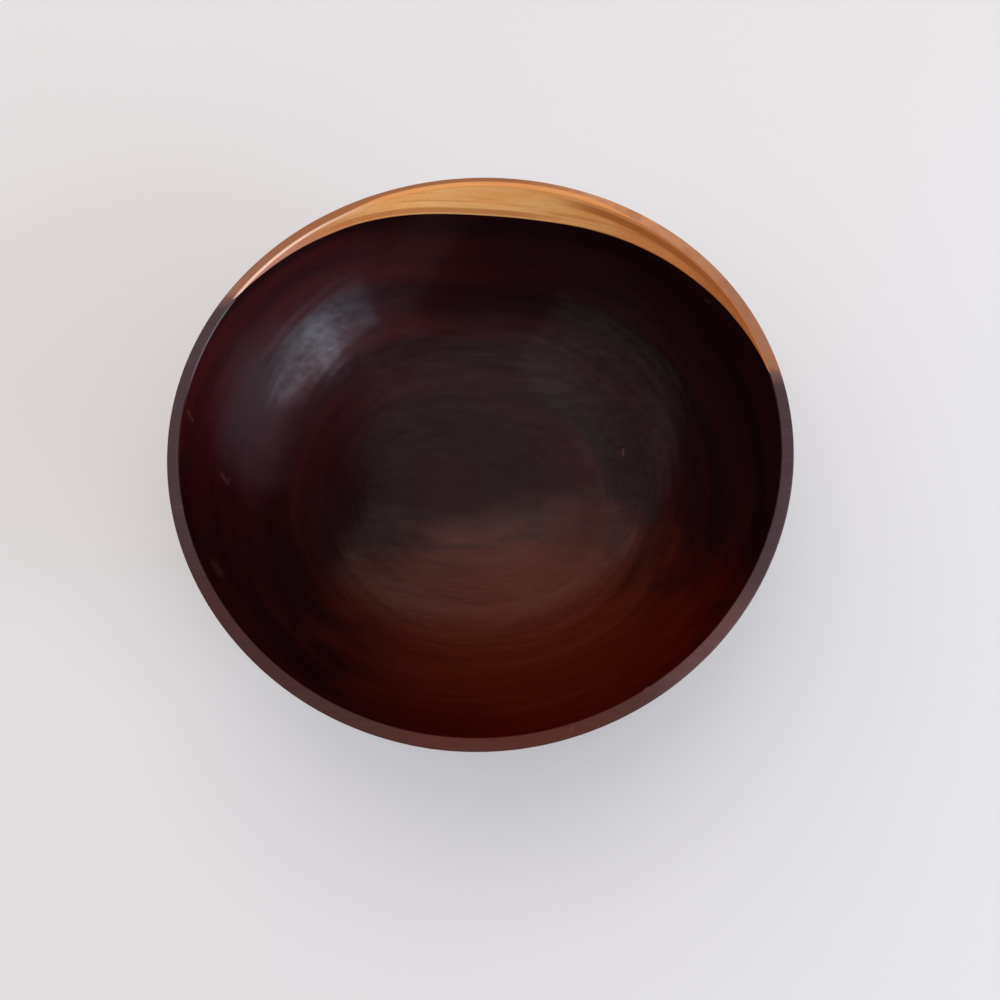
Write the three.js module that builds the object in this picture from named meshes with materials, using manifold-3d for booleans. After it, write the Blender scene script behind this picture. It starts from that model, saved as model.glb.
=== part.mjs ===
// A bowl turned from one side-grain blank, in millimetres.
// +Z is up, the foot stands on z = 0, and the turning axis is the Z axis.
// The blank's heart lies below the bowl, so the pale sapwood shows only at the far side (+Y).

import * as THREE from 'three';
import * as BufferGeometryUtils from 'three/addons/utils/BufferGeometryUtils.js';
import Module from 'manifold-3d';

// Rim and cavity
const rimDiameter = 200;
const rimHeight = 74;
const rimThickness = 4.25;
const rimArris = 0.7;
const floorThickness = 5.5;
const wallAtFloor = 7;

// Turned foot
const footDiameter = 74;
const footRingWidth = 6;
const footRecess = 2.5;
const footEase = 0.8;
const footCove = 4;

// The bowl warped as it dried: the rim rose where the grain runs out, and fell between
const endGrainRise = 3.1;
const grainTurn = THREE.MathUtils.degToRad(-10);

// Growth ring where the heartwood ends, fixed by the line that it leaves inside the far wall
const ringRadius = 480;
const ringDrop = 11;
const ringDip = THREE.MathUtils.degToRad(17);
const ringRise = THREE.MathUtils.degToRad(-1.2);
const ringGap = 0.3;

// Facets
const turnFacets = 80;
const ringFacets = 360;
const outerSteps = 13;
const cavitySteps = 16;
const coveSteps = 4;
const arrisSteps = 3;

const wasm = await Module();
wasm.setup();

const rimRadius = rimDiameter / 2;
const footRadius = footDiameter / 2;
const cavityFloor = footRecess + floorThickness;
const wallBase = cavityFloor - wallAtFloor;
const mouthRadius = rimRadius - rimThickness;
const arrisHeight = rimHeight - rimArris;

// Both walls are arcs centred on the axis: each rises from its own lowest point to the rim.
function wallArc(lowest, rimPointRadius) {
  const rise = arrisHeight - lowest;
  const radius = (rimPointRadius ** 2 + rise ** 2) / (2 * rise);
  return { radius, centre: lowest + radius };
}

const outer = wallArc(wallBase, rimRadius);
const cavity = wallArc(cavityFloor, mouthRadius);

function radiusOn(arc, height) {
  return Math.sqrt(arc.radius ** 2 - (arc.centre - height) ** 2);
}

// Points of an arc in the profile's plane, from one angle to another, first point left out.
function arcPoints(x, y, radius, from, to, steps) {
  const points = [];
  for (let i = 1; i <= steps; i++) {
    const angle = from + ((to - from) * i) / steps;
    points.push(new THREE.Vector2(x + radius * Math.cos(angle), y + radius * Math.sin(angle)));
  }
  return points;
}

function angleOn(arc, point) {
  return Math.atan2(point.y - arc.centre, point.x);
}

function footPoints() {
  const ringInside = footRadius - footRingWidth;
  return [
    new THREE.Vector2(0, footRecess),
    new THREE.Vector2(ringInside - footEase, footRecess),
    new THREE.Vector2(ringInside, 0),
    new THREE.Vector2(footRadius - footEase, 0),
    new THREE.Vector2(footRadius, footEase),
  ];
}

// The hollow between foot and wall is an arc that touches both.
function covePoints() {
  const x = footRadius + footCove;
  const y = outer.centre - Math.sqrt((outer.radius + footCove) ** 2 - x ** 2);
  const end = Math.atan2(outer.centre - y, -x);
  return [new THREE.Vector2(footRadius, y), ...arcPoints(x, y, footCove, Math.PI, end, coveSteps)];
}

function rimPoints() {
  return [
    ...arcPoints(rimRadius - rimArris, arrisHeight, rimArris, 0, Math.PI / 2, arrisSteps),
    new THREE.Vector2(mouthRadius + rimArris, rimHeight),
    ...arcPoints(mouthRadius + rimArris, arrisHeight, rimArris, Math.PI / 2, Math.PI, arrisSteps),
  ];
}

function bowlProfile() {
  const foot = [...footPoints(), ...covePoints()];
  const wallStart = angleOn(outer, foot[foot.length - 1]);
  const wallEnd = angleOn(outer, new THREE.Vector2(rimRadius, arrisHeight));
  const wall = arcPoints(0, outer.centre, outer.radius, wallStart, wallEnd, outerSteps);
  const cavityStart = angleOn(cavity, new THREE.Vector2(mouthRadius, arrisHeight));
  const inside = arcPoints(0, cavity.centre, cavity.radius, cavityStart, -Math.PI / 2, cavitySteps);
  inside[inside.length - 1].x = 0;
  return [...foot, ...wall, ...rimPoints(), ...inside];
}

function warp(geometry) {
  const position = geometry.getAttribute('position');
  for (let i = 0; i < position.count; i++) {
    const turn = Math.atan2(position.getY(i), position.getX(i)) - grainTurn;
    const share = (position.getZ(i) / rimHeight) ** 2;
    position.setZ(i, position.getZ(i) + endGrainRise * Math.cos(2 * turn) * share);
  }
}

function solidOf(geometry) {
  const plain = geometry.clone();
  plain.deleteAttribute('normal');
  plain.deleteAttribute('uv');
  const merged = BufferGeometryUtils.mergeVertices(plain);
  const corners = merged.index.array;
  const triangles = [];
  for (let i = 0; i < corners.length; i += 3) {
    const [a, b, c] = corners.slice(i, i + 3);
    if (a !== b && b !== c && c !== a) triangles.push(a, b, c);
  }
  const mesh = new wasm.Mesh({
    numProp: 3,
    vertProperties: new Float32Array(merged.getAttribute('position').array),
    triVerts: new Uint32Array(triangles),
  });
  return new wasm.Manifold(mesh);
}

function geometryOf(solid) {
  const mesh = solid.getMesh();
  const geometry = new THREE.BufferGeometry();
  geometry.setAttribute('position', new THREE.BufferAttribute(mesh.vertProperties, 3));
  geometry.setIndex(new THREE.BufferAttribute(mesh.triVerts, 1));
  geometry.computeVertexNormals();
  return geometry;
}

function turnedBlank() {
  const geometry = new THREE.LatheGeometry(bowlProfile(), turnFacets);
  geometry.rotateX(Math.PI / 2);
  warp(geometry);
  return solidOf(geometry);
}

// All the wood inside a growth ring, as a long round log along the grain.
function logInside(radius) {
  const along = new THREE.Vector3(
    Math.cos(grainTurn) * Math.cos(ringRise),
    Math.sin(grainTurn) * Math.cos(ringRise),
    Math.sin(ringRise),
  );
  const farSide = new THREE.Vector3(0, 0, 1).cross(along).normalize();
  const up = along.clone().cross(farSide);
  const outward = farSide.clone().multiplyScalar(Math.sin(ringDip));
  outward.addScaledVector(up, Math.cos(ringDip));
  const lineHeight = rimHeight - ringDrop;
  const lineOnWall = new THREE.Vector3(0, radiusOn(cavity, lineHeight), lineHeight);
  const heart = lineOnWall.addScaledVector(outward, -ringRadius);
  const geometry = new THREE.CylinderGeometry(radius, radius, 3 * rimDiameter, ringFacets);
  const placed = new THREE.Matrix4().makeBasis(farSide, along, up.clone().negate());
  placed.setPosition(heart);
  geometry.applyMatrix4(placed);
  return solidOf(geometry);
}

function woodMesh(name, solid, color, roughness) {
  const material = new THREE.MeshStandardMaterial({ color, roughness, metalness: 0 });
  const mesh = new THREE.Mesh(geometryOf(solid), material);
  mesh.name = name;
  return mesh;
}

const blank = turnedBlank();
const heartwood = blank.intersect(logInside(ringRadius));
const sapwood = blank.subtract(logInside(ringRadius + ringGap));

const bowl = new THREE.Group();
bowl.add(woodMesh('heartwood_bowl', heartwood, 0x3b1d1a, 0.35));
bowl.add(woodMesh('sapwood_band', sapwood, 0xcf9457, 0.4));

export default bowl;
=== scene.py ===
import math
import bpy
from mathutils import Matrix, Vector


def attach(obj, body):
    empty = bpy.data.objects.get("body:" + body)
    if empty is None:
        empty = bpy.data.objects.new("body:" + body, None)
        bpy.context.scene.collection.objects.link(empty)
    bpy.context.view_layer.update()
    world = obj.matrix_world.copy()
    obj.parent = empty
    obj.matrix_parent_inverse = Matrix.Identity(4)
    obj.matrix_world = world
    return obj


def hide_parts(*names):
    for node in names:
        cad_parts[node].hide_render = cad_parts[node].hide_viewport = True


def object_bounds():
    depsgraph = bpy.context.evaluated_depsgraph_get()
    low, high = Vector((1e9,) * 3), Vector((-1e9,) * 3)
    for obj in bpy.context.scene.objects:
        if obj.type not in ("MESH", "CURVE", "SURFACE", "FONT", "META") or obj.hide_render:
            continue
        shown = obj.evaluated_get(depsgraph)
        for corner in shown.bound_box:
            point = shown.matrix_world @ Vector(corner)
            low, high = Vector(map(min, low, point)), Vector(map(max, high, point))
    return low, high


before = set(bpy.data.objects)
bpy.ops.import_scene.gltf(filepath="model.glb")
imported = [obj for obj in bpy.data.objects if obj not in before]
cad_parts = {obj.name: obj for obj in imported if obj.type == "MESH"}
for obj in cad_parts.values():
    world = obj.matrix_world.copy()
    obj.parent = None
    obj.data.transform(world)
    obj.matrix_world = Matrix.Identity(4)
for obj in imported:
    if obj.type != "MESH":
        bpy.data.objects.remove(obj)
cadLow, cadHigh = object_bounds()
print("frame loaded:", sorted(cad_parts))

rimRadius = (cadHigh.x - cadLow.x) / 2


# the camera stands where the picture was taken from

view = {
    "eye": (0.0, -0.09359, 0.29995),
    "aim": (0.0039, -0.02535, 0.074),
    "roll": math.radians(-3.938),
    "lens": 27.036,
    "sensor": 36.0,
    "clipStart": 0.01,
}


def addCamera():
    data = bpy.data.cameras.new("overBowl")
    data.sensor_width = view["sensor"]
    data.lens = view["lens"]
    data.clip_start = view["clipStart"]
    camera = bpy.data.objects.new("overBowl", data)
    bpy.context.scene.collection.objects.link(camera)
    bpy.context.scene.camera = camera
    eye = Vector(view["eye"])
    facing = (Vector(view["aim"]) - eye).to_track_quat("-Z", "Y").to_matrix()
    rolled = facing @ Matrix.Rotation(view["roll"], 3, "Z")
    camera.matrix_world = Matrix.Translation(eye) @ rolled.to_4x4()


addCamera()
print("camera placed")


# node trees: a wire is one output of a node, and a sum written on wires adds the Math nodes for it

class Wire:
    def __init__(self, nodes, socket):
        self.nodes = nodes
        self.socket = socket

    def __getitem__(self, name):
        return Wire(self.nodes, self.socket.node.outputs[name])

    def __add__(self, other):
        return self.nodes.math("ADD", self, other)

    def __radd__(self, other):
        return self.nodes.math("ADD", other, self)

    def __sub__(self, other):
        return self.nodes.math("SUBTRACT", self, other)

    def __rsub__(self, other):
        return self.nodes.math("SUBTRACT", other, self)

    def __mul__(self, other):
        return self.nodes.math("MULTIPLY", self, other)

    def __truediv__(self, other):
        return self.nodes.math("DIVIDE", self, other)

    def __pow__(self, other):
        return self.nodes.math("POWER", self, other)

    def __abs__(self):
        return self.nodes.math("ABSOLUTE", self)


mixSockets = {"factor": 0, "from": 6, "to": 7, "result": 2}     # the sockets that a mix of colours uses


class Nodes:
    def __init__(self, tree):
        self.tree = tree
        tree.nodes.clear()

    def add(self, kind, settings=None, values=None):
        node = self.tree.nodes.new(kind)
        for name, value in (settings or {}).items():
            setattr(node, name, value)
        for name, value in (values or {}).items():
            if isinstance(value, Wire):
                self.tree.links.new(value.socket, node.inputs[name])
            elif isinstance(value, list):
                for wire in value:
                    self.tree.links.new(wire.socket, node.inputs[name])
            else:
                node.inputs[name].default_value = value
        return Wire(self, node.outputs[0]) if node.outputs else node

    def math(self, operation, *values):
        return self.add("ShaderNodeMath", {"operation": operation}, dict(enumerate(values)))

    def vector(self, operation, *values):
        return self.add("ShaderNodeVectorMath", {"operation": operation}, dict(enumerate(values)))

    def scaled(self, vector, factor):
        return self.add("ShaderNodeVectorMath", {"operation": "SCALE"}, {"Vector": vector, "Scale": factor})

    def joined(self, x, y, z):
        return self.add("ShaderNodeCombineXYZ", {}, {"X": x, "Y": y, "Z": z})

    def parts(self, vector):
        return self.add("ShaderNodeSeparateXYZ", {}, {0: vector})

    def mix(self, factor, a, b):
        # from colour a to colour b
        values = {mixSockets["factor"]: factor, mixSockets["from"]: a, mixSockets["to"]: b}
        return self.add("ShaderNodeMix", {"data_type": "RGBA"}, values)[mixSockets["result"]]

    def rise(self, value, low, high):
        # 0 below low, 1 above high, and a smooth step between
        settings = {"interpolation_type": "SMOOTHSTEP"}
        return self.add("ShaderNodeMapRange", settings, {"Value": value, "From Min": low, "From Max": high})

    def noise(self, vector, stretch, detail, roughness=0.5):
        # stretch is the size of the noise's grains along each axis, in the vector's own unit
        place = self.vector("DIVIDE", vector, stretch)
        values = {"Vector": place, "Scale": 1.0, "Detail": detail, "Roughness": roughness}
        return self.add("ShaderNodeTexNoise", {}, values)


# the turned shape: sizes in metres, the same as the solids have but for what the notes name

bowl = {
    "rimHeight": 0.074,
    "rimThickness": 0.00425,
    "rimArris": 0.0007,
    "mouthArris": 0.0008,           # the inner edge of the rim is worn rounder than in the solids
    "mouthTurn": 0.38,              # its rounding meets the hollow this far short of half a turn, in radians
    "floorThickness": 0.0055,
    "wallAtFloor": 0.007,
    "footRadius": 0.037,
    "footRingWidth": 0.006,
    "footRecess": 0.0025,
    "footEase": 0.0008,
    "footCove": 0.004,
    "endGrainRise": 0.0031,         # how much higher than level the rim stands where the grain runs out
    "levelFoot": 1.4,               # this rise fades away within this many foot radii of the axis
    "grainTurn": math.radians(-10),
    "sandedWaves": 0.00010,         # how far sanding by hand left the surface from true
    "waveSize": (0.034, 0.034, 0.034),
    "wavesFrom": (0.0005, 0.012),   # the heights between which the waves come in above the foot
    "facets": 256,
    "seamGap": 0.000002,            # the turned profile's ends are merged within this distance
    "creaseAngle": math.radians(28),
}

profileSteps = {
    "recess": 14,
    "footEase": 5,
    "footInside": 2,
    "footBottom": 4,
    "footOutside": 3,
    "cove": 9,
    "wall": 64,
    "rimArris": 5,
    "rimTop": 4,
    "mouth": 7,
    "hollow": 150,
}

gougeMarks = {
    "depth": 0.000012,
    "ridges": ((0.0034, 0.4), (0.0047, 2.1), (0.0079, 4.0)),        # spacing and start of each run of ridges
    "fadeSteps": 8,                 # the ridges fade over this many steps at the rim and in the middle
}

growthRing = {
    "radius": 0.48,
    "drop": 0.011,                  # below the rim, inside the far wall
    "dip": math.radians(17),
    "rise": math.radians(-1.2),
    "inset": 0.00028,               # the ring sways along the grain, about a mean this far inside its radius
    "sways": ((0.00112, 0.149, -0.043), (0.00057, 0.0886, 0.058)),      # size, length and crest of each sway
    "waviness": 0.0005,
    "waveSize": (0.020, 0.016, 0.016),
    "endLift": 0.0002,              # the ring lifts again close to the +X end, between these two places
    "liftFrom": (0.100, 0.114),
    "logLength": 0.3,
    "logFacets": 720,
    "logSegments": 90,
}


def wallArc(lowest, radius, height):
    rise = height - lowest
    size = (radius ** 2 + rise ** 2) / (2 * rise)
    return lowest + size, size


arrisHeight = bowl["rimHeight"] - bowl["rimArris"]
mouthRadius = rimRadius - bowl["rimThickness"]
hollowFloor = bowl["footRecess"] + bowl["floorThickness"]
outerCentre, outerSize = wallArc(hollowFloor - bowl["wallAtFloor"], rimRadius, arrisHeight)
hollowCentre, hollowSize = wallArc(hollowFloor, mouthRadius, arrisHeight)


def arcPoints(centre, size, start, end, steps):
    points = []
    for i in range(1, steps + 1):
        angle = start + (end - start) * i / steps
        points.append((centre[0] + size * math.cos(angle), centre[1] + size * math.sin(angle)))
    return points


def linePoints(start, end, steps):
    points = []
    for i in range(1, steps + 1):
        share = i / steps
        points.append((start[0] + (end[0] - start[0]) * share, start[1] + (end[1] - start[1]) * share))
    return points


def ridgeAt(travel):
    ridges = gougeMarks["ridges"]
    waves = [math.sin(2 * math.pi * travel / spacing + start) for spacing, start in ridges]
    return gougeMarks["depth"] * sum(waves) / len(waves)


def footProfile():
    ease = bowl["footEase"]
    foot = bowl["footRadius"]
    inside = foot - bowl["footRingWidth"]
    recess = bowl["footRecess"]
    coveX = foot + bowl["footCove"]
    coveY = outerCentre - math.sqrt((outerSize + bowl["footCove"]) ** 2 - coveX ** 2)
    coveEnd = math.atan2(outerCentre - coveY, -coveX)
    quarter = math.pi / 2
    steps = profileSteps
    points = [(0.0, recess)]
    points += linePoints(points[-1], (inside - 2 * ease, recess), steps["recess"])
    points += arcPoints((inside - 2 * ease, recess - ease), ease, quarter, 0, steps["footEase"])
    points += linePoints(points[-1], (inside - ease, ease), steps["footInside"])
    points += arcPoints((inside, ease), ease, math.pi, 3 * quarter, steps["footEase"])
    points += linePoints(points[-1], (foot - ease, 0.0), steps["footBottom"])
    points += arcPoints((foot - ease, ease), ease, -quarter, 0, steps["footEase"])
    points += linePoints(points[-1], (foot, coveY), steps["footOutside"])
    points += arcPoints((coveX, coveY), bowl["footCove"], math.pi, coveEnd, steps["cove"])
    return points


def bowlProfile():
    # from the middle of the foot, up the outside, over the rim and down to the middle of the hollow
    arris, mouthArris = bowl["rimArris"], bowl["mouthArris"]
    quarter = math.pi / 2
    steps = profileSteps
    points = footProfile()
    wallStart = math.atan2(points[-1][1] - outerCentre, points[-1][0])
    wallEnd = math.atan2(arrisHeight - outerCentre, rimRadius)
    points += arcPoints((0, outerCentre), outerSize, wallStart, wallEnd, steps["wall"])
    points += arcPoints((rimRadius - arris, arrisHeight), arris, 0, quarter, steps["rimArris"])
    arrisX, arrisY = mouthRadius + mouthArris, bowl["rimHeight"] - mouthArris
    points += linePoints(points[-1], (arrisX, bowl["rimHeight"]), steps["rimTop"])
    mouthEnd = math.pi - bowl["mouthTurn"]
    points += arcPoints((arrisX, arrisY), mouthArris, quarter, mouthEnd, steps["mouth"])
    hollowStart = math.asin((points[-1][1] - hollowCentre) / hollowSize)
    count = steps["hollow"]
    for i in range(1, count):
        angle = hollowStart + (-quarter - hollowStart) * i / count
        travel = (angle - hollowStart) * hollowSize
        fade = min(1.0, i / gougeMarks["fadeSteps"], (count - i) / gougeMarks["fadeSteps"])
        size = hollowSize + ridgeAt(travel) * fade
        points.append((size * math.cos(angle), hollowCentre + size * math.sin(angle)))
    points.append((0.0, hollowFloor))
    return points


# the log: its heart runs below the bowl, set by the line that the growth ring leaves inside the far wall

def logPlace():
    turn, rise = bowl["grainTurn"], growthRing["rise"]
    along = Vector((math.cos(turn) * math.cos(rise), math.sin(turn) * math.cos(rise), math.sin(rise)))
    farSide = Vector((0, 0, 1)).cross(along).normalized()
    up = along.cross(farSide)
    outward = farSide * math.sin(growthRing["dip"]) + up * math.cos(growthRing["dip"])
    lineHeight = bowl["rimHeight"] - growthRing["drop"]
    line = Vector((0, math.sqrt(hollowSize ** 2 - (hollowCentre - lineHeight) ** 2), lineHeight))
    heart = line - outward * growthRing["radius"]
    return heart, Matrix((along, farSide, up)).transposed().to_euler()


logHeart, logTurn = logPlace()


def ringShift(nodes, log):
    # how far outside its radius the ring runs at a place in the log, as growth rings aren't true circles
    wave = nodes.noise(log, growthRing["waveSize"], detail=2) - 0.5
    shift = wave * growthRing["waviness"] - growthRing["inset"]
    along = nodes.parts(log)["X"]
    for size, length, crest in growthRing["sways"]:
        shift = shift + nodes.math("COSINE", (along - crest) * (2 * math.pi / length)) * size
    return shift + nodes.rise(along, *growthRing["liftFrom"]) * growthRing["endLift"]


def turnedTree():
    tree = bpy.data.node_groups.new("turnedFromLog", "GeometryNodeTree")
    nodes = Nodes(tree)
    inputs = (
        ("Profile", "Geometry"), ("Facets", "Int"), ("Rim Height", "Float"), ("Foot Radius", "Float"),
        ("End Grain Rise", "Float"), ("Grain Turn", "Float"), ("Sanded Waves", "Float"),
        ("Ring Radius", "Float"), ("Log Heart", "Vector"), ("Log Turn", "Vector"),
        ("Sapwood Side", "Bool"), ("Wood", "Material"),
    )
    for name, kind in inputs:
        tree.interface.new_socket(name, in_out="INPUT", socket_type="NodeSocket" + kind)
    tree.interface.new_socket("Turned", in_out="OUTPUT", socket_type="NodeSocketGeometry")
    given = nodes.add("NodeGroupInput")

    # turn the profile: each column of the grid is a copy of it
    rows = nodes.add("GeometryNodeAttributeDomainSize", {}, {"Geometry": given["Profile"]})
    grid = nodes.add("GeometryNodeMeshGrid", {}, {"Vertices X": given["Facets"] + 1, "Vertices Y": rows})
    index = nodes.add("GeometryNodeInputIndex")
    column = nodes.add("FunctionNodeIntegerMath", {"operation": "DIVIDE"}, {0: index, 1: rows})
    row = nodes.add("FunctionNodeIntegerMath", {"operation": "MODULO"}, {0: index, 1: rows})
    position = nodes.add("GeometryNodeInputPosition")
    sample = {"Geometry": given["Profile"], "Value": position, "Index": row}
    flat = nodes.add("GeometryNodeSampleIndex", {"data_type": "FLOAT_VECTOR"}, sample)
    angle = column * (2 * math.pi) / given["Facets"]
    place = nodes.add("ShaderNodeVectorRotate", {"rotation_type": "Z_AXIS"}, {"Vector": flat, "Angle": angle})

    # the rim rose at the end grain as the wood dried
    along = nodes.math("COSINE", (angle - given["Grain Turn"]) * 2)
    share = (nodes.parts(flat)["Z"] / given["Rim Height"]) ** 2
    fade = nodes.rise(nodes.parts(flat)["X"], 0.0, given["Foot Radius"] * bowl["levelFoot"])
    warped = nodes.joined(0.0, 0.0, along * share * fade * given["End Grain Rise"])
    turned = nodes.add("GeometryNodeSetPosition", {}, {"Geometry": grid, "Position": place, "Offset": warped})
    closed = nodes.add("GeometryNodeMergeByDistance", {}, {"Geometry": turned, "Distance": bowl["seamGap"]})

    # sanding by hand: always into the wood, and nothing at the foot
    wave = nodes.noise(position, bowl["waveSize"], detail=1)
    lift = nodes.rise(nodes.parts(position)["Z"], *bowl["wavesFrom"]) * wave * given["Sanded Waves"] * -1
    sanded = nodes.scaled(nodes.add("GeometryNodeInputNormal"), lift)
    blank = nodes.add("GeometryNodeSetPosition", {}, {"Geometry": closed, "Offset": sanded})

    # all the wood inside the growth ring, laid along the grain
    size = {
        "Vertices": growthRing["logFacets"],
        "Side Segments": growthRing["logSegments"],
        "Radius": given["Ring Radius"],
        "Depth": growthRing["logLength"],
    }
    stem = nodes.add("GeometryNodeMeshCylinder", {}, size)
    laid = nodes.add("GeometryNodeTransform", {}, {"Geometry": stem, "Rotation": (0, math.pi / 2, 0)})
    outward = nodes.vector("NORMALIZE", nodes.vector("MULTIPLY", position, (0, 1, 1)))
    shift = nodes.scaled(outward, ringShift(nodes, position))
    swayed = nodes.add("GeometryNodeSetPosition", {}, {"Geometry": laid, "Offset": shift})
    ends = {"Geometry": swayed, "Translation": given["Log Heart"], "Rotation": given["Log Turn"]}
    log = nodes.add("GeometryNodeTransform", {}, ends)

    inside = {"operation": "INTERSECT", "solver": "MANIFOLD"}
    outside = {"operation": "DIFFERENCE", "solver": "MANIFOLD"}
    inner = nodes.add("GeometryNodeMeshBoolean", inside, {"Mesh 2": [blank, log]})
    outer = nodes.add("GeometryNodeMeshBoolean", outside, {"Mesh 1": blank, "Mesh 2": log})
    choice = {"Switch": given["Sapwood Side"], "False": inner, "True": outer}
    wood = nodes.add("GeometryNodeSwitch", {"input_type": "GEOMETRY"}, choice)

    # smooth all over, with a crisp edge only where the two woods part
    smooth = nodes.add("GeometryNodeSetShadeSmooth", {"domain": "FACE"}, {"Geometry": wood})
    crease = nodes.math("GREATER_THAN", nodes.add("GeometryNodeInputMeshEdgeAngle"), bowl["creaseAngle"])
    sharp = {"Geometry": smooth, "Selection": crease, "Shade Smooth": False}
    creased = nodes.add("GeometryNodeSetShadeSmooth", {"domain": "EDGE"}, sharp)
    real = nodes.add("GeometryNodeRealizeInstances", {}, {"Geometry": creased})
    finished = nodes.add("GeometryNodeSetMaterial", {}, {"Geometry": real, "Material": given["Wood"]})
    nodes.add("NodeGroupOutput", {}, {"Turned": finished})
    return tree


# grain: what both woods share, read from the place in the log

woodGrain = {
    # a drift is how fast a pattern changes along the grain, as a share of its change across the rings
    "bendSize": (0.09, 0.03, 0.03),         # slow waves that bend the rings, along the log and across it
    "zoneSize": (0.009, 0.009, 0.009),      # broad zones of colour
    "zoneDrift": 0.12,
    "zoneSlant": 0.05,
    "streakSize": (0.0016, 0.0016, 0.0016),
    "streakDrift": 0.05,
    "poreEdge": (0.05, 0.13),
}

handFinish = {
    "dryBelow": (0.006, 0.005),             # the dry rim starts between these depths below its top
    "topTilt": (0.50, 0.66),                # how level the rim's top and its worn inner edge have to be
    "arrisTilt": (0.44, 0.56),
    "outerEdgeTilt": 0.7,                   # how much of its outer edge counts as its top
    "turningSize": 0.01,                    # the larger this is, the shorter what runs round the axis
    "floorToWall": (0.009, 0.030),          # the heights between which the floor turns to the wall
    "sandingMarks": (0.005, 0.005, 0.0007),
    "floorMarks": 0.3,                      # how much of the sanding marks the floor shows
    "wallWipes": (0.007, 0.007, 0.0030),    # oil wiped round the walls, and along the grain
    "wallWipeShare": 1.1,
    "grainWipes": (0.022, 0.0028, 0.0028),
    "grainWipeShare": 0.7,
    "smudgeSize": (0.05, 0.05, 0.05),
    "smudgeFade": (0.3, 0.7),
    "smudgeShare": 0.3,
    "cloudSize": (0.016, 0.016, 0.016),
    "cloudShare": 0.5,
    "streakShare": 0.8,
    "dullFrom": (0.045, 0.080),             # how far to the near or far side the walls turn dull
    "insideFade": (-0.1, 0.1),              # how far a face turns outward where the inside ends
    "leastPolish": 0.05,
    "rimDryness": 0.6,
    "rimRoughness": 0.15,
    "fibreRoughness": 0.12,
    "fibreRelief": 0.35,
    "ringRelief": 0.5,
    "markRelief": 0.65,
    "poreRelief": 0.9,
    "oilIor": 1.45,
}


def newMaterial(name):
    material = bpy.data.materials.new(name)
    material.use_nodes = True
    return material, Nodes(material.node_tree)


def grainOf(nodes, look):
    spot = nodes.add("ShaderNodeTexCoord")
    place = spot["Object"]
    mapping = {"Vector": place, "Location": logHeart, "Rotation": logTurn}
    log = nodes.add("ShaderNodeMapping", {"vector_type": "TEXTURE"}, mapping)
    parts = nodes.parts(log)
    along = parts["X"]
    radius = (parts["Y"] ** 2 + parts["Z"] ** 2) ** 0.5
    depth = radius - growthRing["radius"] - ringShift(nodes, log)       # negative in the heartwood

    bent = depth + (nodes.noise(log, woodGrain["bendSize"], detail=2) - 0.5) * look["ringBend"]
    ringPlace = nodes.joined(along * look["ringDrift"], 0.0, bent)
    rings = nodes.noise(ringPlace, look["ringSize"], detail=2, roughness=0.6)
    zonePlace = nodes.joined(along * woodGrain["zoneDrift"], parts["Y"] * woodGrain["zoneSlant"], bent)
    zones = nodes.noise(zonePlace, woodGrain["zoneSize"], detail=2)
    streakPlace = nodes.joined(along * woodGrain["streakDrift"], 0.0, bent)
    streaks = nodes.noise(streakPlace, woodGrain["streakSize"], detail=2, roughness=0.6)
    fibres = nodes.noise(log, look["fibreSize"], detail=3, roughness=0.62)
    cells = {"Vector": nodes.vector("DIVIDE", log, look["poreSize"]), "Scale": 1.0}
    poreAway = nodes.add("ShaderNodeTexVoronoi", {}, cells)["Distance"]
    pores = 1 - nodes.rise(poreAway, *woodGrain["poreEdge"])

    # the rim's flat top and its outer edge are left dry, and its inner edge is worn and takes a painted
    # highlight
    finish = handFinish
    level = nodes.vector("MULTIPLY", place, (1, 1, 0))
    fromAxis = nodes.vector("LENGTH", level)["Value"]
    height = nodes.parts(place)["Z"]
    upward = nodes.parts(spot["Normal"])["Z"]
    outward = nodes.vector("DOT_PRODUCT", spot["Normal"], nodes.vector("NORMALIZE", level))["Value"]
    low, high = [bowl["rimHeight"] - below for below in finish["dryBelow"]]
    rim = nodes.rise(height, low, high)
    rimTop = rim * nodes.rise(upward + outward * finish["outerEdgeTilt"], *finish["topTilt"])
    arris = rim * nodes.rise(upward, *finish["arrisTilt"]) * (1 - rimTop)

    # sanding marks run round the turning axis, and so do some wipes of oil on the walls
    travel = nodes.math("ARCTAN2", fromAxis, hollowCentre - height) * hollowSize
    circle = nodes.scaled(nodes.vector("NORMALIZE", level), finish["turningSize"])
    turning = nodes.vector("ADD", circle, nodes.joined(0.0, 0.0, travel))
    upWall = nodes.rise(height, *finish["floorToWall"])
    marks = nodes.noise(turning, finish["sandingMarks"], detail=3)
    marks = marks * (upWall * (1 - finish["floorMarks"]) + finish["floorMarks"])
    wallWipes = nodes.noise(turning, finish["wallWipes"], detail=3, roughness=0.6) - 0.5
    grainWipes = nodes.noise(log, finish["grainWipes"], detail=3, roughness=0.6) - 0.5
    wiped = wallWipes * upWall * finish["wallWipeShare"] + grainWipes * (upWall + finish["grainWipeShare"])
    return {
        "place": place, "height": height, "fromAxis": fromAxis, "outward": outward,
        "log": log, "along": along, "depth": depth,
        "rings": rings, "zones": zones, "streaks": streaks, "fibres": fibres, "pores": pores,
        "rimTop": rimTop, "arris": arris, "marks": marks, "wiped": wiped,
    }


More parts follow.
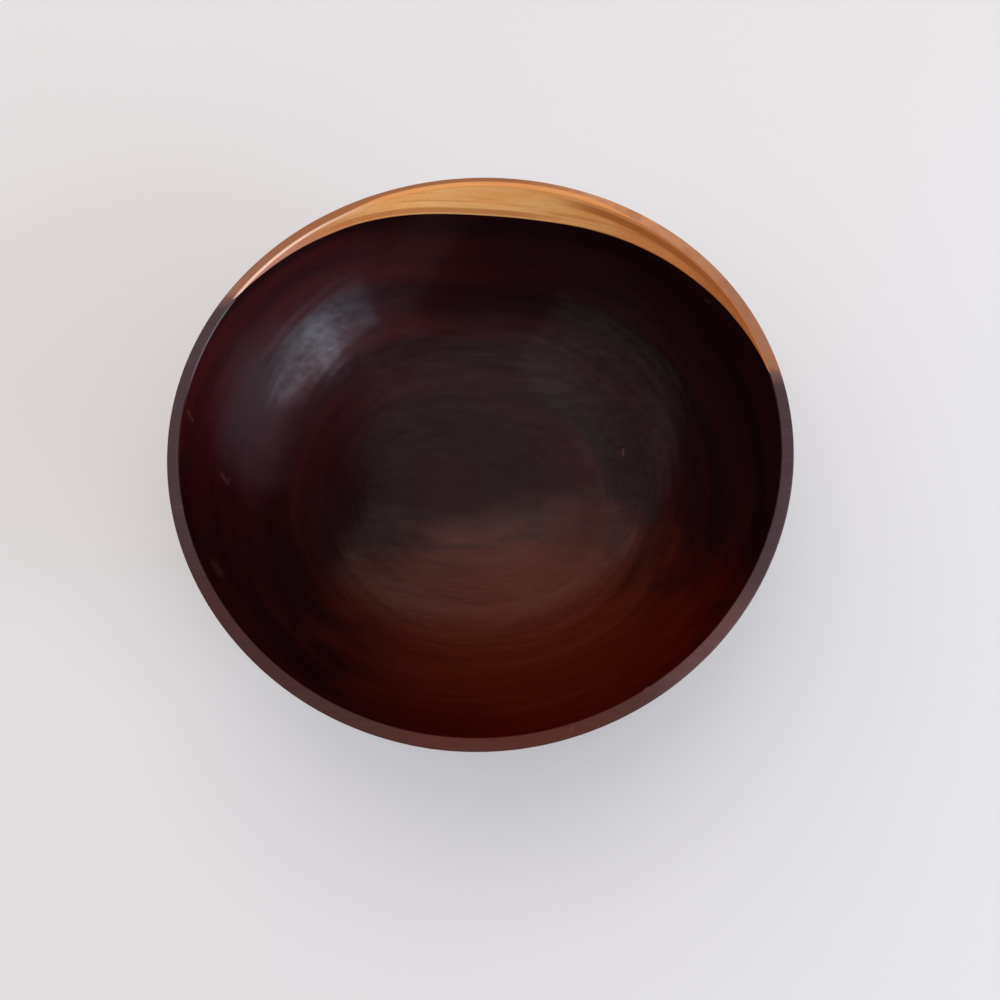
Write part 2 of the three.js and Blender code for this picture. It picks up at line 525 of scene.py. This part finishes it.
def oiled(nodes, grain, look, colour):
    # an oiled and buffed surface over the wood's colour
    finish = handFinish
    relief = grain["fibres"] * finish["fibreRelief"] + grain["rings"] * finish["ringRelief"]
    relief = relief + grain["marks"] * finish["markRelief"] - grain["pores"] * finish["poreRelief"]
    bump = {"Strength": 1.0, "Distance": look["relief"], "Height": relief}
    roughness = look["roughness"] + grain["fibres"] * finish["fibreRoughness"]
    roughness = roughness + grain["rimTop"] * finish["rimRoughness"] - finish["fibreRoughness"] / 2

    # the oil is buffed unevenly, and less on the rim's top and on the near and far walls
    smudge = nodes.noise(grain["place"], finish["smudgeSize"], detail=2)
    smudge = nodes.rise(smudge, *finish["smudgeFade"]) - 0.5
    cloud = nodes.noise(grain["place"], finish["cloudSize"], detail=3) - 0.5
    polish = smudge * finish["smudgeShare"] + cloud * finish["cloudShare"]
    polish = polish + (grain["streaks"] - 0.5) * finish["streakShare"] + 1 + grain["wiped"]
    crosswise = nodes.rise(abs(nodes.parts(grain["place"])["Y"]), *finish["dullFrom"])
    inside = 1 - nodes.rise(grain["outward"], *finish["insideFade"])
    polish = polish * (1 - crosswise * inside * look["dullWalls"])
    polish = nodes.math("MAXIMUM", polish, finish["leastPolish"])
    values = {
        "Base Color": colour,
        "Roughness": roughness,
        "IOR": finish["oilIor"],
        "Specular IOR Level": look["specular"],
        "Coat Weight": polish * (1 - grain["rimTop"] * finish["rimDryness"]) * look["coat"],
        "Coat Roughness": look["coatRoughness"],
        "Coat IOR": finish["oilIor"],
        "Normal": nodes.add("ShaderNodeBump", {}, bump),
    }
    shader = nodes.add("ShaderNodeBsdfPrincipled", {}, values)
    nodes.add("ShaderNodeOutputMaterial", {}, {"Surface": shader})


# heartwood: very dark purple-brown, with a brown figure across the near side of the hollow

heartwood = {
    "dark": (0.0050, 0.0004, 0.0008, 1),
    "red": (0.0410, 0.0040, 0.0046, 1),
    "brown": (0.0700, 0.0152, 0.0070, 1),
    "rust": (0.0500, 0.0062, 0.0014, 1),
    "deepRust": (0.0470, 0.0024, 0.0003, 1),
    "light": (0.1500, 0.0380, 0.0140, 1),
    # the pale colour of the marks of use and of a few painted highlights
    "scuff": (0.1300, 0.0560, 0.0520, 1),
    # a painted reflection: pale mauve that carries the reflection on the left wall further down
    "bloom": (0.0520, 0.0350, 0.0400, 1),
    "rim": (0.0640, 0.0440, 0.0460, 1),
    "rimWarm": (0.0800, 0.0280, 0.0185, 1),
    "rimRed": (0.0580, 0.0260, 0.0230, 1),
    "rimPale": (0.1150, 0.0650, 0.0600, 1),
    "rimJoint": (0.1300, 0.0760, 0.0620, 1),
    # a painted highlight on the rim's inner edge
    "arris": (0.1500, 0.1350, 0.1500, 1),
    # where each patch of colour has its middle, and how far it reaches
    "brownPlace": (0.004, -0.056, 0.028),
    "brownSize": (0.064, 0.048, 0.058),
    "rustPlace": (0.022, -0.082, 0.058),
    "rustSize": (0.072, 0.048, 0.045),
    "redPlace": (-0.066, 0.056, 0.060),
    "redSize": (0.084, 0.080, 0.056),
    # the painted reflection's middle and reach
    "bloomPlace": (-0.078, 0.030, 0.052),
    "bloomSize": (0.026, 0.044, 0.022),
    "rimWarmPlace": (-0.012, -0.098, 0.071),
    "rimWarmSize": (0.078, 0.078, 0.078),
    "rimRedPlace": (-0.075, -0.063, 0.074),
    "rimRedSize": (0.060, 0.060, 0.060),
    "rimPalePlace": (0.060, -0.077, 0.074),
    "rimPaleSize": (0.028, 0.028, 0.028),
    # where the painted highlight on the inner edge has its middle
    "arrisPlace": (-0.086, 0.042, 0.074),
    "arrisSize": (0.026, 0.026, 0.026),
    "patchFade": (0.3, 1.0),                # from where to where a patch fades, as shares of its size
    "brownFade": (0.35, 1.25),
    "rustFade": (0.35, 1.20),
    "redFade": (0.35, 1.15),
    "bloomFade": (0.1, 1.0),
    "cloudReach": 0.7,                      # how far the cloudy grain shifts the edge of a patch
    "bloomCloud": 0.5,                      # how much of that the painted reflection takes
    # between which values of each noise its colour comes in
    "zoneFade": (0.36, 0.68),
    "ringFade": (0.45, 0.75),
    "figureFade": (0.40, 0.72),
    "darkGrainFade": (0.58, 0.72),
    "fibreFade": (0.40, 0.68),
    "outsideFade": (0.0, 0.3),              # how far a face turns outward, from where to where it is outside
    "redHeights": (0.030, 0.056),           # the floor is redder, and fades between these heights
    "rustHeights": (0.019, 0.036),          # the brown figure turns to rust between these
    "besideDepths": (-0.0040, -0.0010),     # a dark band beside the sapwood, and where it ends
    "besideEnds": (-0.030, 0.0),
    "jointDepths": (-0.0006, 0.0),          # the rim's colour meets the sapwood's between these depths
    "cloudSize": (0.050, 0.012, 0.007),
    "darkGrain": (0.030, 0.010, 0.0020),
    # small marks of use and a few painted highlights, each a short stroke: where from, where to, half its
    # width and how strong
    "scuffs": (
        ((-0.0885, 0.0001, 0.0604), (-0.0872, -0.0026, 0.0582), 0.0011, 0.22),
        ((-0.0872, -0.0026, 0.0582), (-0.0868, -0.0008, 0.0573), 0.0009, 0.12),
        ((-0.0936, 0.0176, 0.0750), (-0.0932, 0.0150, 0.0728), 0.0009, 0.25),
        # a soft painted highlight on the left wall
        ((-0.0876, -0.0334, 0.0698), (-0.0860, -0.0366, 0.0693), 0.0028, 0.10),
        ((0.0549, 0.0040, 0.0243), (0.0545, 0.0018, 0.0240), 0.0007, 0.5),
        ((0.0840, 0.0398, 0.0678), (0.0850, 0.0383, 0.0684), 0.0009, 0.16),
        ((-0.0990, -0.0147, 0.0765), (-0.0950, -0.0155, 0.0764), 0.0005, 0.4),
        ((0.0158, -0.0964, 0.0715), (0.0166, -0.0957, 0.0713), 0.0007, 0.6),
        ((0.0390, -0.0878, 0.0729), (0.0398, -0.0870, 0.0729), 0.0008, 0.8),
        # the next two are painted highlight streaks in the reflection on the far left wall, and the third is
        # a fleck
        ((-0.0547, 0.0603, 0.0483), (-0.0465, 0.0651, 0.0463), 0.0010, 0.12),
        ((-0.0742, 0.0460, 0.0577), (-0.0513, 0.0616, 0.0466), 0.0018, 0.07),
        ((-0.0471, 0.0611, 0.0429), (-0.0465, 0.0609, 0.0423), 0.0010, 0.35),
    ),
    "darkStreaks": (
        ((-0.0269, -0.0225, 0.0141), (-0.0052, -0.0236, 0.0109), 0.0026, 0.40),
        ((0.0037, -0.0224, 0.0107), (0.0182, -0.0225, 0.0125), 0.0026, 0.50),
    ),
    "lightStreaks": (
        ((-0.0149, -0.0208, 0.0110), (0.0132, -0.0172, 0.0105), 0.0022, 0.09),
        ((-0.0200, -0.0290, 0.0143), (-0.0040, -0.0292, 0.0130), 0.0020, 0.09),
    ),
    "shares": {                             # how strongly each layer covers the colour under it
        "redPatch": 0.7,
        "redFloor": 0.2,
        "redder": 0.5,
        "zones": 0.22,
        "zonesRedder": 0.5,
        "zonesOutside": 0.5,
        "rings": 0.12,
        "ringsOutside": 0.3,
        "lightRingsOutside": 0.12,
        "rust": 0.9,
        "figureRings": 0.14,
        "darkGrain": 0.2,
        "fibres": 0.22,
        "pores": 0.5,
        "bloom": 0.65,
        "besideSapwood": 0.8,
        "arris": 0.8,
        "dry": 0.6,
        "dryFibres": 0.6,
        "dryJoint": 0.2,
    },
    "ringSize": (0.0034, 0.0034, 0.0034),
    "ringBend": 0.004,
    "ringDrift": 0.03,
    "fibreSize": (0.030, 0.0010, 0.0010),
    "poreSize": (0.009, 0.0006, 0.0006),
    "relief": 0.00003,
    "roughness": 0.42,
    "specular": 0.06,
    "coat": 0.28,
    "coatRoughness": 0.16,
    "dullWalls": 0.65,                      # how much duller the near and far walls are inside
}


def fromPlace(nodes, place, middle, size):
    # how far a place is from the middle, as a share of the size
    away = nodes.vector("SUBTRACT", place, middle)
    return nodes.vector("LENGTH", nodes.vector("DIVIDE", away, size))["Value"]


def patch(nodes, place, look, name):
    # 1 round the middle of the look's patch of that name, fading out at its size
    away = fromPlace(nodes, place, look[name + "Place"], look[name + "Size"])
    return 1 - nodes.rise(away, *look["patchFade"])


def strokes(nodes, place, wanted):
    mask = 0.0
    for start, end, width, strength in wanted:
        way = Vector(end) - Vector(start)
        fromStart = nodes.vector("SUBTRACT", place, start)
        travel = nodes.vector("DOT_PRODUCT", fromStart, way / way.length_squared)["Value"]
        nearest = nodes.scaled(way, nodes.add("ShaderNodeClamp", {}, {"Value": travel}))
        away = nodes.vector("DISTANCE", fromStart, nearest)["Value"]
        mask = nodes.math("MAXIMUM", mask, (1 - nodes.rise(away, 0.0, width)) * strength)
    return mask


def heartwoodMaterial():
    material, nodes = newMaterial("oiledHeartwood")
    look = heartwood
    shares = look["shares"]
    grain = grainOf(nodes, look)
    place, log = grain["place"], grain["log"]
    away = fromPlace(nodes, place, look["redPlace"], look["redSize"])
    redder = (1 - nodes.rise(away, *look["redFade"])) * shares["redPatch"]
    redder = redder + (1 - nodes.rise(grain["height"], *look["redHeights"])) * shares["redFloor"]
    outside = nodes.rise(grain["outward"], *look["outsideFade"])
    zones = redder * shares["zonesRedder"] + outside * shares["zonesOutside"] + shares["zones"]
    broad = nodes.rise(grain["zones"], *look["zoneFade"]) * zones + redder * shares["redder"]
    thin = nodes.rise(grain["rings"], *look["ringFade"])
    rings = thin * (outside * shares["ringsOutside"] + shares["rings"])
    colour = nodes.mix(broad + rings, look["dark"], look["red"])
    colour = nodes.mix(thin * outside * shares["lightRingsOutside"], colour, look["light"])

    # the brown figure fades out over the wood's own cloudy grain
    cloud = (nodes.noise(log, look["cloudSize"], detail=3) - 0.5) * look["cloudReach"]
    away = fromPlace(nodes, place, look["rustPlace"], look["rustSize"])
    rust = 1 - nodes.rise(away + cloud, *look["rustFade"])
    colour = nodes.mix(rust * shares["rust"], colour, look["deepRust"])
    away = fromPlace(nodes, place, look["brownPlace"], look["brownSize"])
    figure = 1 - nodes.rise(away + cloud, *look["brownFade"])
    upWall = nodes.rise(grain["height"], *look["rustHeights"])
    colour = nodes.mix(figure, colour, nodes.mix(upWall, look["brown"], look["rust"]))
    light = nodes.rise(grain["rings"], *look["figureFade"]) * figure
    colour = nodes.mix(light * shares["figureRings"], colour, look["light"])
    darkGrain = nodes.noise(log, look["darkGrain"], detail=2, roughness=0.55)
    darkGrain = nodes.rise(darkGrain, *look["darkGrainFade"])
    colour = nodes.mix(darkGrain * shares["darkGrain"], colour, look["dark"])
    fibres = nodes.rise(grain["fibres"], *look["fibreFade"])
    colour = nodes.mix(fibres * shares["fibres"], colour, look["dark"])
    colour = nodes.mix(grain["pores"] * shares["pores"], colour, look["dark"])
    colour = nodes.mix(strokes(nodes, place, look["darkStreaks"]), colour, look["dark"])
    colour = nodes.mix(strokes(nodes, place, look["lightStreaks"]), colour, look["light"])
    # painted reflection: the left wall turns paler and mauve below the reflection there
    away = fromPlace(nodes, place, look["bloomPlace"], look["bloomSize"])
    bloom = 1 - nodes.rise(away + cloud * look["bloomCloud"], *look["bloomFade"])
    colour = nodes.mix(bloom * shares["bloom"], colour, look["bloom"])
    beside = nodes.rise(grain["depth"], *look["besideDepths"])
    beside = beside * (1 - nodes.rise(grain["along"], *look["besideEnds"]))
    colour = nodes.mix(beside * shares["besideSapwood"], colour, look["dark"])

    # the rim's flat top is drier, warm at the near side and paler beside that, and a painted highlight lies
    # on its inner edge at the left
    rimColour = nodes.mix(patch(nodes, place, look, "rimWarm"), look["rim"], look["rimWarm"])
    rimColour = nodes.mix(patch(nodes, place, look, "rimRed"), rimColour, look["rimRed"])
    rimColour = nodes.mix(patch(nodes, place, look, "rimPale"), rimColour, look["rimPale"])
    nearJoint = nodes.rise(grain["depth"], *look["jointDepths"])
    rimColour = nodes.mix(nearJoint, rimColour, look["rimJoint"])
    dry = grain["fibres"] * shares["dryFibres"] + shares["dry"] + nearJoint * shares["dryJoint"]
    colour = nodes.mix(grain["rimTop"] * dry, colour, rimColour)
    # painted highlight: the inner edge turns pale grey round one place on the left
    edgeHighlight = patch(nodes, place, look, "arris")
    colour = nodes.mix(grain["arris"] * edgeHighlight * shares["arris"], colour, look["arris"])
    # marks of use and a few painted highlights, all in one paler colour
    colour = nodes.mix(strokes(nodes, place, look["scuffs"]), colour, look["scuff"])
    oiled(nodes, grain, look, colour)
    return material


# sapwood: golden, with fine orange lines along the rings

sapwood = {
    "golden": (0.98, 0.480, 0.137, 1),
    "pale": (0.98, 0.570, 0.200, 1),
    "start": (0.56, 0.220, 0.088, 1),
    "end": (0.72, 0.260, 0.076, 1),
    # a painted highlight: paler and greyer wall near the inner edge at the -X end
    "tip": (0.60, 0.280, 0.185, 1),
    "line": (0.62, 0.225, 0.056, 1),
    "streak": (0.52, 0.178, 0.044, 1),
    "edge": (0.16, 0.045, 0.018, 1),
    # the inner edge: paler where it is worn, with a painted highlight that is brightest at the -X end
    "arris": (0.77, 0.500, 0.315, 1),
    "arrisTip": (0.94, 0.650, 0.470, 1),
    "arrisEnd": (0.38, 0.270, 0.230, 1),
    "rimGolden": (0.64, 0.290, 0.085, 1),
    "rim": (0.26, 0.103, 0.037, 1),
    "rimPale": (0.49, 0.255, 0.125, 1),
    "rimEnd": (0.24, 0.110, 0.066, 1),
    "rimJoint": (0.1300, 0.0760, 0.0620, 1),
    # where each comes in or ends along the grain, measured from the far wall's middle towards -X
    "startFrom": (0.015, 0.060),
    "tipFrom": (0.038, 0.059),
    "arrisEndFrom": (0.062, 0.084),
    "rimStartFrom": (0.045, 0.074),
    # the same, measured towards +X
    "endFrom": (0.030, 0.080),
    "rimPaleFrom": (0.020, 0.050),
    "rimEndFrom": (0.070, 0.108),
    "belowRimFrom": (0.034, 0.056),
    "belowRimFills": (0.080, 0.094),
    # where painted shade on the inner edge comes in
    "arrisStreakFrom": (0.052, 0.072),
    "besideEnds": (0.020, 0.050),
    "arrisEnds": (-0.045, -0.022),
    "goldenRimFrom": (-0.046, -0.022),
    "goldenRimEnds": (0.048, 0.072),
    # depths outside the growth ring
    "besideDepth": 0.0015,
    "besideWidth": (0.0006, 0.0014),
    "belowRimDepth": 0.0117,
    "belowRimSlope": 0.088,
    "belowRimWidth": (0.0008, 0.0017),
    "edgeWidth": 0.0004,
    "jointWidth": 0.0005,
    # distances in from the rim's outside
    "dullRim": (0.0042, 0.0036),
    "goldenRim": 0.0018,                    # how much narrower the dull part is where the rim is golden
    # how far in the worn edge and its painted highlight reach
    "wornRim": (0.0037, 0.0031),
    "paleSize": (0.07, 0.006, 0.006),
    "mottleSize": (0.007, 0.007, 0.007),
    # between which values of each noise its colour comes in
    "paleFade": (0.38, 0.62),
    "ringFade": (0.50, 0.64),
    "fibreFade": (0.42, 0.70),
    "mottleFade": (0.34, 0.60),
    "shares": {                             # how strongly each layer covers the colour under it
        "start": 0.85,
        "end": 0.7,
        "rings": 0.5,
        "fibres": 0.2,
        "beside": 0.75,
        "besideAtTip": 0.85,                # how much of it goes at the tip
        "belowRim": 0.95,
        "belowRimEnd": 0.8,
        "edge": 0.7,
        "pores": 0.35,
        "mottle": 0.45,
        "rimEnd": 0.8,
        "rimGolden": 0.8,
        "dullRim": 0.9,
        "arrisStreak": 0.6,
    },
    "ringSize": (0.0014, 0.0014, 0.0014),
    "ringBend": 0.0015,
    "ringDrift": 0.02,
    "fibreSize": (0.024, 0.0007, 0.0007),
    "poreSize": (0.007, 0.0006, 0.0006),
    "relief": 0.00003,
    "roughness": 0.45,
    "specular": 0.15,
    "coat": 0.30,
    "coatRoughness": 0.17,
    "dullWalls": 0.0,
}


def sapwoodMaterial():
    material, nodes = newMaterial("oiledSapwood")
    look = sapwood
    shares = look["shares"]
    grain = grainOf(nodes, look)
    depth, along = grain["depth"], grain["along"]
    back = along * -1
    broad = nodes.noise(grain["log"], look["paleSize"], detail=2)
    colour = nodes.mix(nodes.rise(broad, *look["paleFade"]), look["golden"], look["pale"])
    colour = nodes.mix(nodes.rise(back, *look["startFrom"]) * shares["start"], colour, look["start"])
    colour = nodes.mix(nodes.rise(along, *look["endFrom"]) * shares["end"], colour, look["end"])
    # painted highlight: towards -X the band turns paler and greyer
    tip = nodes.rise(back, *look["tipFrom"])
    colour = nodes.mix(tip, colour, look["tip"])
    rings = nodes.rise(grain["rings"], *look["ringFade"])
    colour = nodes.mix(rings * shares["rings"], colour, look["line"])
    fibres = nodes.rise(grain["fibres"], *look["fibreFade"])
    colour = nodes.mix(fibres * shares["fibres"], colour, look["line"])

    # one darker growth line runs beside the heartwood, and another below the rim towards the +X end
    beside = 1 - nodes.rise(abs(depth - look["besideDepth"]), *look["besideWidth"])
    beside = beside * (1 - nodes.rise(along, *look["besideEnds"])) * (1 - tip * shares["besideAtTip"])
    offLine = abs(depth + along * look["belowRimSlope"] - look["belowRimDepth"])
    filled = nodes.rise(along, *look["belowRimFills"]) * shares["belowRimEnd"]
    belowRim = nodes.math("MAXIMUM", 1 - nodes.rise(offLine, *look["belowRimWidth"]), filled)
    belowRim = belowRim * nodes.rise(along, *look["belowRimFrom"])
    streak = nodes.math("MAXIMUM", beside * shares["beside"], belowRim * shares["belowRim"])
    colour = nodes.mix(streak, colour, look["streak"])
    edge = 1 - nodes.rise(depth, 0.0, look["edgeWidth"])
    colour = nodes.mix(edge * shares["edge"], colour, look["edge"])
    colour = nodes.mix(grain["pores"] * shares["pores"], colour, look["streak"])

    # the rim's flat top is duller, mottled paler towards +X, and darker where the heartwood nears
    mottle = nodes.noise(grain["place"], look["mottleSize"], detail=3)
    mottle = nodes.rise(mottle, *look["mottleFade"]) * shares["mottle"] + (1 - shares["mottle"])
    rimColour = nodes.mix(mottle * nodes.rise(along, *look["rimPaleFrom"]), look["rim"], look["rimPale"])
    nearEnd = nodes.rise(back, *look["rimStartFrom"])
    nearEnd = nearEnd + nodes.rise(along, *look["rimEndFrom"]) * shares["rimEnd"]
    rimColour = nodes.mix(nearEnd, rimColour, look["rimEnd"])
    nearJoint = 1 - nodes.rise(depth, 0.0, look["jointWidth"])
    rimColour = nodes.mix(nearJoint, rimColour, look["rimJoint"])

    # between both ends only the outer half of the rim is dull
    colour = nodes.mix((grain["rimTop"] + grain["arris"]) * shares["rimGolden"], colour, look["rimGolden"])
    golden = nodes.rise(along, *look["goldenRimFrom"]) * (1 - nodes.rise(along, *look["goldenRimEnds"]))
    low, high = [rimRadius - inward for inward in look["dullRim"]]
    dull = grain["rimTop"] * nodes.rise(grain["fromAxis"] - golden * look["goldenRim"], low, high)
    covers = nearJoint * (1 - shares["dullRim"]) + shares["dullRim"]
    colour = nodes.mix(dull * covers, colour, rimColour)

    # the inner edge is worn pale and carries a painted highlight towards -X, and painted shade darkens it
    # towards +X
    low, high = [rimRadius - inward for inward in look["wornRim"]]
    inner = 1 - nodes.rise(grain["fromAxis"], low, high)
    # the worn edge with its painted highlight
    edgeHighlight = nodes.math("MAXIMUM", grain["arris"], grain["rimTop"] * inner)
    arrisColour = nodes.mix(tip, look["arris"], look["arrisTip"])
    arrisColour = nodes.mix(nodes.rise(back, *look["arrisEndFrom"]), arrisColour, look["arrisEnd"])
    colour = nodes.mix(edgeHighlight * (1 - nodes.rise(along, *look["arrisEnds"])), colour, arrisColour)
    # painted shade: the inner edge darkens towards +X
    arrisStreak = grain["arris"] * nodes.rise(along, *look["arrisStreakFrom"])
    colour = nodes.mix(arrisStreak * shares["arrisStreak"], colour, look["streak"])
    oiled(nodes, grain, look, colour)
    return material


# pieces: one tree turns both woods, and each keeps its own side of the growth ring

def addPiece(name, tree, profile, sapwoodSide, material):
    piece = bpy.data.objects.new(name, profile)
    bpy.context.scene.collection.objects.link(piece)
    modifier = piece.modifiers.new("turned", "NODES")
    modifier.node_group = tree
    values = {
        "Facets": bowl["facets"],
        "Rim Height": bowl["rimHeight"],
        "Foot Radius": bowl["footRadius"],
        "End Grain Rise": bowl["endGrainRise"],
        "Grain Turn": bowl["grainTurn"],
        "Sanded Waves": bowl["sandedWaves"],
        "Ring Radius": growthRing["radius"],
        "Log Heart": logHeart,
        "Log Turn": logTurn,
        "Sapwood Side": sapwoodSide,
        "Wood": material,
    }
    for socket in tree.interface.items_tree:
        if socket.in_out == "INPUT" and socket.name in values:
            modifier[socket.identifier] = values[socket.name]
    mesh = bpy.data.meshes.new_from_object(piece.evaluated_get(bpy.context.evaluated_depsgraph_get()))
    mesh.name = name
    mesh.materials.clear()
    mesh.materials.append(material)
    mesh.polygons.foreach_set("material_index", [0] * len(mesh.polygons))
    piece.modifiers.remove(modifier)
    piece.data = mesh
    return piece


def profileMesh():
    points = bowlProfile()
    mesh = bpy.data.meshes.new("bowlProfile")
    edges = [(i, i + 1) for i in range(len(points) - 1)]
    mesh.from_pydata([(x, 0, z) for x, z in points], edges, [])
    return mesh


profile = profileMesh()
tree = turnedTree()
for name, node, slot, sapwoodSide, material in (
    ("heartwoodBowl", "heartwood_bowl", "heartwood", False, heartwoodMaterial()),
    ("sapwoodBand", "sapwood_band", "sapwood", True, sapwoodMaterial()),
):
    piece = addPiece(name, tree, profile, sapwoodSide, material)
    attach(piece, "root")
    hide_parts(node)
    print(name, "turned with", len(piece.data.polygons), "faces")


# studio: a pale floor that curves up all round, softboxes, and a sky that is pale overhead

studio = {
    "floorColour": (0.73, 0.81, 0.785, 1),
    "wallColour": (0.40, 0.41, 0.41, 1),
    "greyFrom": (0.7, 1.6),                 # how far out the floor's colour turns to the wall's
    "floorRadius": 2.6,
    "coveRadius": 0.6,
    "wallHeight": 1.6,
    "floorFacets": 96,
    "floorSteps": 4,
    "coveSteps": 10,
    "wallSteps": 2,
    "floorDrop": 0.0001,                    # how far below the foot the floor lies
    "floorRoughness": 0.9,
    "floorSpecular": 0.2,
    "low": (0.06, 0.06, 0.07, 1),           # sky near the horizon, and overhead
    "high": (1.15, 0.93, 0.98, 1),
    "turnsPale": (32, 62),                  # degrees above the horizon where one passes into the other
}

softboxes = {
    # where each stands as seen from the bowl, in degrees round and up, its distance and size in metres,
    # its lean in degrees, and its light
    "keyBox": {
        "turn": -14, "rise": 10, "distance": 1.5, "width": 1.26, "height": 0.46, "lean": -39,
        "glow": 7.0, "tint": (0.80, 0.85, 1.0),
    },
    "keyTop": {
        "turn": -38, "rise": 21, "distance": 1.5, "width": 0.66, "height": 0.42, "lean": -12,
        "glow": 6.4, "tint": (0.66, 0.79, 1.0),
    },
    "lowBox": {
        "turn": -46, "rise": 8, "distance": 1.75, "width": 1.0, "height": 0.37, "lean": 0,
        "glow": 0.55, "tint": (1.0, 0.84, 0.86),
    },
    "highBox": {
        "turn": -50, "rise": 36, "distance": 1.7, "width": 0.78, "height": 0.60, "lean": 0,
        "glow": 0.5, "tint": (1.0, 0.93, 0.93),
    },
    "sideBox": {
        "turn": -74, "rise": 19, "distance": 1.75, "width": 1.14, "height": 0.55, "lean": 43,
        "glow": 0.75, "tint": (1.0, 0.78, 0.76),
    },
    "farBox": {
        "turn": 88, "rise": 37, "distance": 1.7, "width": 3.1, "height": 1.55, "lean": 0,
        "glow": 0.94, "tint": (1.0, 0.86, 0.78),
    },
    "leftBox": {
        "turn": 174, "rise": 34, "distance": 1.7, "width": 3.3, "height": 1.25, "lean": 30,
        "glow": 0.65, "tint": (1.0, 0.90, 0.93),
    },
}


def addFloor():
    flat = studio["floorRadius"] - studio["coveRadius"]
    cove = studio["coveRadius"]
    points = linePoints((0.0, 0.0), (flat, 0.0), studio["floorSteps"])
    points += arcPoints((flat, cove), cove, -math.pi / 2, 0, studio["coveSteps"])
    points += linePoints(points[-1], (studio["floorRadius"], studio["wallHeight"]), studio["wallSteps"])
    facets = studio["floorFacets"]
    bottom = cadLow.z - studio["floorDrop"]
    corners = []
    for x, z in points:
        for i in range(facets):
            angle = 2 * math.pi * i / facets
            corners.append((x * math.cos(angle), x * math.sin(angle), bottom + z))
    faces = [tuple(range(facets))]
    for row in range(len(points) - 1):
        for i in range(facets):
            start, end = row * facets, (row + 1) * facets
            j = (i + 1) % facets
            faces.append((start + i, end + i, end + j, start + j))
    mesh = bpy.data.meshes.new("floor")
    mesh.from_pydata(corners, [], faces)
    mesh.shade_smooth()
    material, nodes = newMaterial("paleFloor")
    away = nodes.vector("LENGTH", nodes.add("ShaderNodeTexCoord")["Object"])["Value"]
    colour = nodes.mix(nodes.rise(away, *studio["greyFrom"]), studio["floorColour"], studio["wallColour"])
    values = {
        "Base Color": colour,
        "Roughness": studio["floorRoughness"],
        "Specular IOR Level": studio["floorSpecular"],
    }
    shader = nodes.add("ShaderNodeBsdfPrincipled", {}, values)
    nodes.add("ShaderNodeOutputMaterial", {}, {"Surface": shader})
    mesh.materials.append(material)
    floor = bpy.data.objects.new("floor", mesh)
    bpy.context.scene.collection.objects.link(floor)


def addSoftbox(name, box):
    data = bpy.data.lights.new(name, "AREA")
    data.shape = "RECTANGLE"
    data.size = box["width"]
    data.size_y = box["height"]
    data.color = box["tint"]
    data.energy = math.pi * box["width"] * box["height"] * box["glow"]
    lamp = bpy.data.objects.new(name, data)
    lamp.visible_camera = False
    bpy.context.scene.collection.objects.link(lamp)
    turn, rise = math.radians(box["turn"]), math.radians(box["rise"])
    way = Vector((math.cos(turn) * math.cos(rise), math.sin(turn) * math.cos(rise), math.sin(rise)))
    middle = Vector((0, 0, bowl["rimHeight"] / 2))
    facing = way.to_track_quat("Z", "Y").to_matrix().to_4x4()
    leaning = Matrix.Rotation(math.radians(box["lean"]), 4, "Z")
    lamp.matrix_world = Matrix.Translation(middle + way * box["distance"]) @ facing @ leaning


def addSky():
    world = bpy.data.worlds.new("studio")
    bpy.context.scene.world = world
    world.use_nodes = True
    nodes = Nodes(world.node_tree)
    way = nodes.parts(nodes.add("ShaderNodeTexCoord"))
    low, high = [math.sin(math.radians(angle)) for angle in studio["turnsPale"]]
    colour = nodes.mix(nodes.rise(way["Z"], low, high), studio["low"], studio["high"])
    background = nodes.add("ShaderNodeBackground", {}, {"Color": colour})
    nodes.add("ShaderNodeOutputWorld", {}, {"Surface": background})


addFloor()
addSky()
for name, box in softboxes.items():
    addSoftbox(name, box)
print("studio lit by", len(softboxes), "softboxes")

bpy.context.scene.view_settings.view_transform = "Standard"
